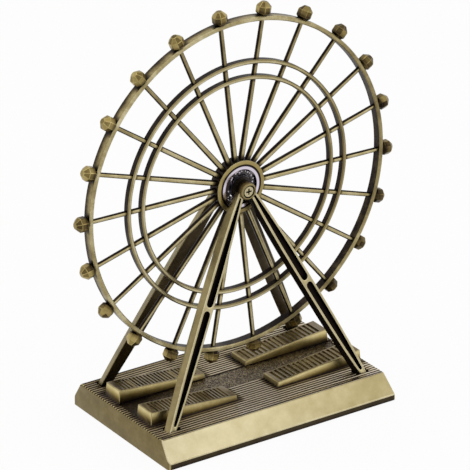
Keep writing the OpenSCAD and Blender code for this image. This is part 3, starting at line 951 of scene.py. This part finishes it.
class Tree:
    """A Geometry Nodes tree with named inputs, built from a list of (name, kind, default)."""

    def __init__(self, name, sockets):
        self.group = bpy.data.node_groups.new(name, "GeometryNodeTree")
        face = self.group.interface
        face.new_socket("Geometry", in_out="OUTPUT", socket_type="NodeSocketGeometry")
        self.ids = {}
        for label, kind, default in sockets:
            socket = face.new_socket(label, in_out="INPUT", socket_type=kind)
            if default is not None:
                socket.default_value = default
            self.ids[label] = socket.identifier
        self.inputs = self.group.nodes.new("NodeGroupInput").outputs
        self.out = self.group.nodes.new("NodeGroupOutput")

    def add(self, kind, props=None, **inputs):
        return add(self.group, kind, props, **inputs)

    def calc(self, op, *values):
        return calc(self.group, op, *values)

    def vector(self, x=0.0, y=0.0, z=0.0):
        return self.add("ShaderNodeCombineXYZ", X=x, Y=y, Z=z).outputs[0]

    def move(self, geometry, place=(0, 0, 0), turn=(0, 0, 0)):
        moved = self.add("GeometryNodeTransform", Geometry=geometry, Translation=place,
                         Rotation=turn)
        return moved.outputs[0]

    def join(self, *parts):
        node = self.add("GeometryNodeJoinGeometry")
        for part in parts:
            self.group.links.new(part, node.inputs[0])
        return node.outputs[0]

    def close(self, geometry, tones=None):
        """Ends the tree: makes copies real, lets tones(tree, real) mark them, and paints all."""
        real = self.add("GeometryNodeRealizeInstances", Geometry=geometry).outputs[0]
        if tones:
            real = tones(self, real)
        painted = self.add("GeometryNodeSetMaterial", Geometry=real,
                           Material=self.inputs["Material"])
        self.group.links.new(painted.outputs[0], self.out.inputs[0])

    def build(self, name, angle=32.0, **values):
        """A plain mesh object that the tree makes with these values for its inputs."""
        obj = link(name, bpy.data.meshes.new(name))
        mod = obj.modifiers.new("nodes", "NODES")
        mod.node_group = self.group
        for label, value in values.items():
            mod[self.ids[label.replace("_", " ")]] = value
        finish_mesh(obj)
        shade(obj, angle)
        print(name, len(obj.data.polygons), "faces")
        return obj


print("tree helpers ready")

# %% Round the axis
LIE_DOWN = (0, math.pi / 2, 0)  # turns what was made along +Z to lie along +X
MATERIAL_SOCKET = ("Material", "NodeSocketMaterial", None)
AXIS_SOCKETS = sizes(Axis_Height=AXIS_Z)
WHEEL_SOCKETS = AXIS_SOCKETS + [("Count", "NodeSocketInt", SPOKES),
                                ("Phase", "NodeSocketFloat", PHASE), MATERIAL_SOCKET]


def round_the_axis(tree, content):
    """The content, which is made along +X from the axis, repeated at each spoke."""
    count = tree.inputs["Count"]
    line = tree.add("GeometryNodeMeshLine", Count=count, Offset=(0, 0, 0),
                    Start_Location=tree.vector(z=tree.inputs["Axis Height"]))
    index = tree.add("GeometryNodeInputIndex").outputs[0]
    step = tree.calc("DIVIDE", 2 * math.pi, count)
    angle = tree.calc("MULTIPLY_ADD", index, step, tree.inputs["Phase"])
    copies = tree.add("GeometryNodeInstanceOnPoints", Points=line.outputs[0], Instance=content,
                      Rotation=tree.vector(y=tree.calc("MULTIPLY", angle, -1.0)))
    return copies.outputs[0]


print("wheel inputs:", [label for label, kind, default in WHEEL_SOCKETS])

# %% [markdown]
# ### Spokes
#
# A real spoke is a cast rod, thicker at the drum than at the rim. A thin beam with a square
# section would flash as it turns, so this one is a cone of twelve sides, enough to shade softly.


# %% Spoke tree
def spoke_tree():
    tree = Tree("spoke_rule", WHEEL_SOCKETS + sizes(
        Root_Radius=9.7, Tip_Radius=60.3, Root_Width=2.14, Tip_Width=1.64))
    into = tree.inputs
    length = tree.calc("SUBTRACT", into["Tip Radius"], into["Root Radius"])
    cone = tree.add("GeometryNodeMeshCone", Vertices=12, Depth=length,
                    Radius_Top=tree.calc("MULTIPLY", into["Tip Width"], 0.5),
                    Radius_Bottom=tree.calc("MULTIPLY", into["Root Width"], 0.5))
    bar = tree.move(cone.outputs[0], tree.vector(into["Root Radius"]), LIE_DOWN)
    tree.close(round_the_axis(tree, bar))
    return tree


spokes = spoke_tree().build("wheel_spokes", angle=40.0, Material=spoke_brass)
skin(spokes, "wheel", "plated_brass", "spokes")

# %% [markdown]
# ### Capsules
#
# A capsule is a small gem with eight sides on a short round foot. An ico or UV sphere has the
# wrong facets, so a cylinder with eight sides and three rings of them is bent onto a sphere: each
# point's height becomes a latitude. Every facet gets a random tone of its own, a painted
# reflection that sets the facets apart.

# %% Gem and facet tone
FACET_SHEEN, TONE_SEED = 0.22, 7
GEM_SIDES = 8
TOP_LATITUDE = math.radians(67.5)


def gem(tree, size):
    """A faceted ball about the origin, with its poles along Z."""
    drum = tree.add("GeometryNodeMeshCylinder", Vertices=GEM_SIDES, Side_Segments=3, Radius=1.0,
                    Depth=2.0)
    place = tree.add("GeometryNodeInputPosition").outputs[0]
    split = tree.add("ShaderNodeSeparateXYZ", Vector=place).outputs
    latitude = tree.calc("MULTIPLY", split["Z"], TOP_LATITUDE)
    half = tree.calc("MULTIPLY", size, 0.5)
    flat = tree.calc("MULTIPLY", tree.calc("COSINE", latitude), half)
    high = tree.calc("MULTIPLY", tree.calc("SINE", latitude), half)
    x = tree.calc("MULTIPLY", split["X"], flat)
    y = tree.calc("MULTIPLY", split["Y"], flat)
    ball = tree.add("GeometryNodeSetPosition", Geometry=drum.outputs[0],
                    Position=tree.vector(x, y, high))
    return tree.move(ball.outputs[0], turn=(0, 0, math.pi / GEM_SIDES))


def enabled(sockets, name):
    """The socket of this name that is in use: such a node has one for each type of value."""
    return next(socket for socket in sockets if socket.name == name and socket.enabled)


def facet_sheens(tree, geometry):
    """Stores a random number on each face, which the brass adds to its brightness as a painted
    reflection.
    """
    dice = tree.add("FunctionNodeRandomValue", {"data_type": "FLOAT"})
    index = tree.add("GeometryNodeInputIndex").outputs[0]
    for key, value in (("Min", -FACET_SHEEN), ("Max", FACET_SHEEN), ("ID", index),
                       ("Seed", TONE_SEED)):
        feed(tree.group, enabled(dice.inputs, key), value)
    store = tree.add("GeometryNodeStoreNamedAttribute", {"data_type": "FLOAT", "domain": "FACE"},
                     Geometry=geometry, Name="facet_tone", Value=enabled(dice.outputs, "Value"))
    return store.outputs[0]


print("gem has", GEM_SIDES, "sides, tones go up to", FACET_SHEEN)


# %% Capsule tree
def capsule_tree():
    tree = Tree("capsule_rule", WHEEL_SOCKETS + sizes(
        Centre_Radius=63.8, Size=5.94, Foot_Radius=1.9, Foot_Height=0.9, Rim_Radius=61.7))
    into = tree.inputs
    ball = tree.move(gem(tree, into["Size"]), tree.vector(into["Centre Radius"]), LIE_DOWN)
    foot = tree.add("GeometryNodeMeshCylinder", Vertices=24, Radius=into["Foot Radius"],
                    Depth=into["Foot Height"])
    middle = tree.calc("MULTIPLY_ADD", into["Foot Height"], 0.5, into["Rim Radius"])
    foot = tree.move(foot.outputs[0], tree.vector(middle), LIE_DOWN)
    tree.close(round_the_axis(tree, tree.join(ball, foot)), facet_sheens)
    return tree


capsules = capsule_tree().build("wheel_capsules", angle=20.0, Material=capsule_brass)
edge_and_face(capsules.data, capsule_highlit_edge, capsule_brass)
soften(capsules, 0.13, segments=1, angle=18.0)
shade(capsules, 12.0)
skin(capsules, "wheel", "plated_brass", "capsules")

# %% [markdown]
# ### Rim and rings
#
# The rim and the two rings that brace the spokes differ only in size. A torus has a round section,
# and a tube would need its edges broken afterwards, so all three share one rule: a rectangle with
# its corners cut off, swept along a circle. Smooth shading makes the cut corners look round.


# %% Ring tree
def ring_tree():
    tree = Tree("ring_rule", AXIS_SOCKETS + sizes(
        Middle_Radius=60.0, Thickness=1.6, Width=4.0, Round=0.3) + [MATERIAL_SOCKET])
    into = tree.inputs
    path = tree.add("GeometryNodeCurvePrimitiveCircle", Resolution=12 * SPOKES,
                    Radius=into["Middle Radius"])
    box = tree.add("GeometryNodeCurvePrimitiveQuadrilateral", Width=into["Thickness"],
                   Height=into["Width"])
    section = tree.add("GeometryNodeFilletCurve", {"mode": "POLY"}, Curve=box.outputs[0],
                       Count=1, Radius=into["Round"])
    swept = tree.add("GeometryNodeCurveToMesh", Curve=path.outputs[0],
                     Profile_Curve=section.outputs[0])
    upright = (math.pi / 2, 0, 0)
    tree.close(tree.move(swept.outputs[0], tree.vector(z=into["Axis Height"]), upright))
    return tree


rings = ring_tree()
for name, node, ring, mat, corner in (
        ("outer_rim_ring", "outer_rim", RIM, rim_brass, 0.35),
        ("middle_spoke_ring", "middle_ring", MIDDLE, ring_brass, 0.40),
        ("inner_spoke_ring", "inner_ring", INNER, ring_brass, 0.40)):
    piece = rings.build(name, Middle_Radius=(ring["r0"] + ring["r1"]) / 2 * MM,
                        Thickness=(ring["r1"] - ring["r0"]) * MM, Width=ring["w"] * MM,
                        Round=corner * MM, Material=mat)
    skin(piece, "wheel", "plated_brass", node)

# %% [markdown]
# ## The hub
#
# The drum holds the bearing and the roots of the spokes. Its bores and sockets are already right
# in the solid, so it is a rounded copy: painted light in front and behind, painted shade between
# the spokes, a dark seam round the bearing, and thin gold edges further out.


# %% Hub drum
def drum_edge(edge):
    """The edges of the drum's front and back are rounded, and no others."""
    return max(abs(face.normal[1]) for face in edge.link_faces) > 0.95


def drum_finish(face):
    return gold if face.on_edge and from_axis(face.at) > RACE_R + 0.6 else hub_brass


hub = casting("hub", "hub_drum", 0.22, drum_edge, drum_finish)
skin(hub, "wheel", "cast_brass", "hub")

# %% [markdown]
# ## The axle screws
#
# Two cross-headed screws sit sunk in the bosses. Their heads are rubbed bright and the cross
# stays dark. The same way as for the castings does it: a rounded copy, with a finish for each
# face.

# %% Axle screws
SCREW_TOP_Y = 7.2


def screw_edge(edge):
    return abs(edge.verts[0].co[1]) > (SCREW_TOP_Y - 0.15) * MM


def screw_finish(face):
    on_top = abs(face.normal[1]) > 0.7 and abs(face.at[1]) > SCREW_TOP_Y - 0.12
    return screw_steel if face.on_edge or on_top else black


screws = casting("axle_screws", "axle_screw_pair", 0.10, screw_edge, screw_finish)
skin(screws, "stand", "screw_steel", "axle_screws")

# %% [markdown]
# ## The river
#
# Between the piers runs a strip with a fine stipple. A bump map would give it only shading, and
# it has to glint on real slopes, so a thin closed slab lies on the channel's floor, and its upper
# side is lifted by a cell texture.

# %% River slab
RIVER_X = (-45.4, 45.4)
SLAB = 0.1


def river_tree():
    tree = Tree("river_rule", sizes(
        Length=RIVER_X[1] - RIVER_X[0], Width=RIVER_W, Middle=sum(RIVER_X) / 2, Floor=RIVER_Z,
        Relief=0.26) + [("Grain", "NodeSocketFloat", 950.0), MATERIAL_SOCKET])
    into = tree.inputs
    size = tree.vector(into["Length"], into["Width"], SLAB * MM)
    slab = tree.add("GeometryNodeMeshCube", Size=size, Vertices_X=310, Vertices_Y=40)
    place = tree.add("GeometryNodeInputPosition").outputs[0]
    height = tree.add("ShaderNodeSeparateXYZ", Vector=place).outputs["Z"]
    upper = tree.calc("GREATER_THAN", height, 0.0)
    stipple = tree.add("ShaderNodeTexVoronoi", {"feature": "F1"}, Vector=place,
                       Scale=into["Grain"])
    lift = tree.calc("MULTIPLY", stipple.outputs["Distance"], into["Relief"])
    offset = tree.vector(z=tree.calc("MULTIPLY", lift, upper))
    rough = tree.add("GeometryNodeSetPosition", Geometry=slab.outputs[0], Offset=offset)
    level = tree.calc("ADD", into["Floor"], SLAB / 2 * MM)
    tree.close(tree.move(rough.outputs[0], tree.vector(into["Middle"], 0.0, level)))
    return tree


river = river_tree().build("river_strip", angle=50.0, Material=river_brass)
skin(river, "stand", "cast_brass")

# %% [markdown]
# ## Bearing, axle and screws keep their solids
#
# Turned steel parts have clean edges, and their shapes are right as they are. So nothing is built
# for them, and each node only gets its material.

# %% Node materials
NODE_LOOKS = {
    "axle": chrome, "frame_screws": screw_steel, "front_spacer": washer_steel,
    "rear_spacer": washer_steel, "bearing_inner_race": dark_steel, "bearing_outer_race": race,
    "bearing_balls": chrome, "bearing_cage": cage_black, "base_pad": felt,
}
for node, mat in NODE_LOOKS.items():
    for place in frame["nodes"][node].material_slots:
        place.material = mat
print("node materials set:", len(NODE_LOOKS))

# %% [markdown]
# ## Camera
#
# The camera stands in front, to the left and above. Near by, with a short lens, the front parts
# would look too big. Far off, with a long lens, upright lines stay nearly parallel.


# %% Camera
def look(azimuth, elevation, roll, distance, aim, lens):
    """A camera at a distance in metres from the point that it aims at. Angles are in degrees."""
    a, e, r = (math.radians(v) for v in (azimuth, elevation, roll))
    back = Vector((math.sin(a) * math.cos(e), -math.cos(a) * math.cos(e), math.sin(e)))
    level = Vector((math.cos(a), math.sin(a), 0))
    above = back.cross(level)
    right = level * math.cos(r) + above * math.sin(r)
    up = above * math.cos(r) - level * math.sin(r)
    data = bpy.data.cameras.new("camera")
    data.lens = lens
    data.sensor_width = 36
    data.clip_end = 20
    cam = link("camera", data)
    turn = Matrix((right, up, back)).transposed()
    cam.matrix_world = Matrix.Translation(Vector(aim) + back * distance) @ turn.to_4x4()
    bpy.context.scene.camera = cam
    return cam


camera = look(azimuth=-35.211, elevation=24.748, roll=0.849, distance=1.30451,
              aim=(-0.000567, 0, 0.06551), lens=287.39)
print("camera at", [round(v, 4) for v in camera.location])

# %% [markdown]
# ## Floor and world
#
# A small shiny product is lit in a white tent, and all that lies behind it is plain white. One
# white surface can't be both bright to the eye and soft on the metal, so floor and world mix two
# looks: a plain one for rays from the camera and from mirrors, and a softer one for the light that
# reaches the piece.

# %% Two looks in one
WHITE = (1, 1, 1, 1)
CARD_GREY = (0.80, 0.80, 0.80, 1)


def seen_plain(tree):
    """1 for rays that come from the camera, a mirror or glass, 0 for soft light."""
    path = add(tree, "ShaderNodeLightPath").outputs
    rays = ("Is Camera Ray", "Is Glossy Ray", "Is Transmission Ray")
    return highest(tree, *(path[ray] for ray in rays))


def mix_shaders(tree, fac, a, b, target):
    mix = add(tree, "ShaderNodeMixShader")
    for i, value in enumerate((fac, a.outputs[0], b.outputs[0])):
        put(tree, mix, i, value)
    put(tree, add(tree, target), 0, mix.outputs[0])


print("two-look helpers ready")

# %% Floor
FLOOR_GLOW = 0.94
FLOOR_HALF, FLOOR_DROP = 3.0, 0.0002

floor_look = bpy.data.materials.new("floor_card")
tree = empty_tree(floor_look)
glow = add(tree, "ShaderNodeEmission", Color=WHITE, Strength=1.0)
card = add(tree, "ShaderNodeBsdfDiffuse", Color=CARD_GREY)
plain_share = calc(tree, "MULTIPLY", seen_plain(tree), FLOOR_GLOW)
mix_shaders(tree, plain_share, card, glow, "ShaderNodeOutputMaterial")

bm = bmesh.new()
bmesh.ops.create_grid(bm, x_segments=1, y_segments=1, size=FLOOR_HALF)
floor_mesh = bpy.data.meshes.new("floor")
bm.to_mesh(floor_mesh)
bm.free()
floor_mesh.materials.append(floor_look)
floor_mesh.transform(Matrix.Translation((0, 0, -FLOOR_DROP)))
floor = link("floor", floor_mesh)
print("floor is", 2 * FLOOR_HALF, "m wide")

# %% World
world = bpy.data.worlds.new("studio")
bpy.context.scene.world = world
tree = empty_tree(world)
tent = add(tree, "ShaderNodeBackground", Strength=0.75, Color=WHITE)
plain = add(tree, "ShaderNodeBackground", Strength=1.0, Color=WHITE)
mix_shaders(tree, seen_plain(tree), tent, plain, "ShaderNodeOutputWorld")
print("world ready")

# %% [markdown]
# ## Lamps
#
# Two soft boxes, one in front and one above, give the metal a bright side and a form. Small lamps
# would give hard points of light on it, and large ones spread them into soft streaks.


# %% Lamps
def soft_light(name, place, aim, size, power):
    """A rectangular lamp at a place, turned to its aim, in metres and watts."""
    data = bpy.data.lights.new(name, "AREA")
    data.shape = "RECTANGLE"
    data.size, data.size_y = size
    data.energy = power
    lamp = link(name, data)
    lamp.location = place
    lamp.rotation_euler = (Vector(aim) - Vector(place)).to_track_quat("-Z", "Y").to_euler()


soft_light("front_box", place=(0.52, -0.72, 0.50), aim=(0, 0, 0.05), size=(0.9, 0.6), power=1.0)
soft_light("top_box", place=(-0.2, 0.0, 1.0), aim=(0, 0, 0.07), size=(0.7, 0.5), power=1.5)
bpy.context.scene.view_settings.view_transform = "Standard"
print("front and top lamps ready")
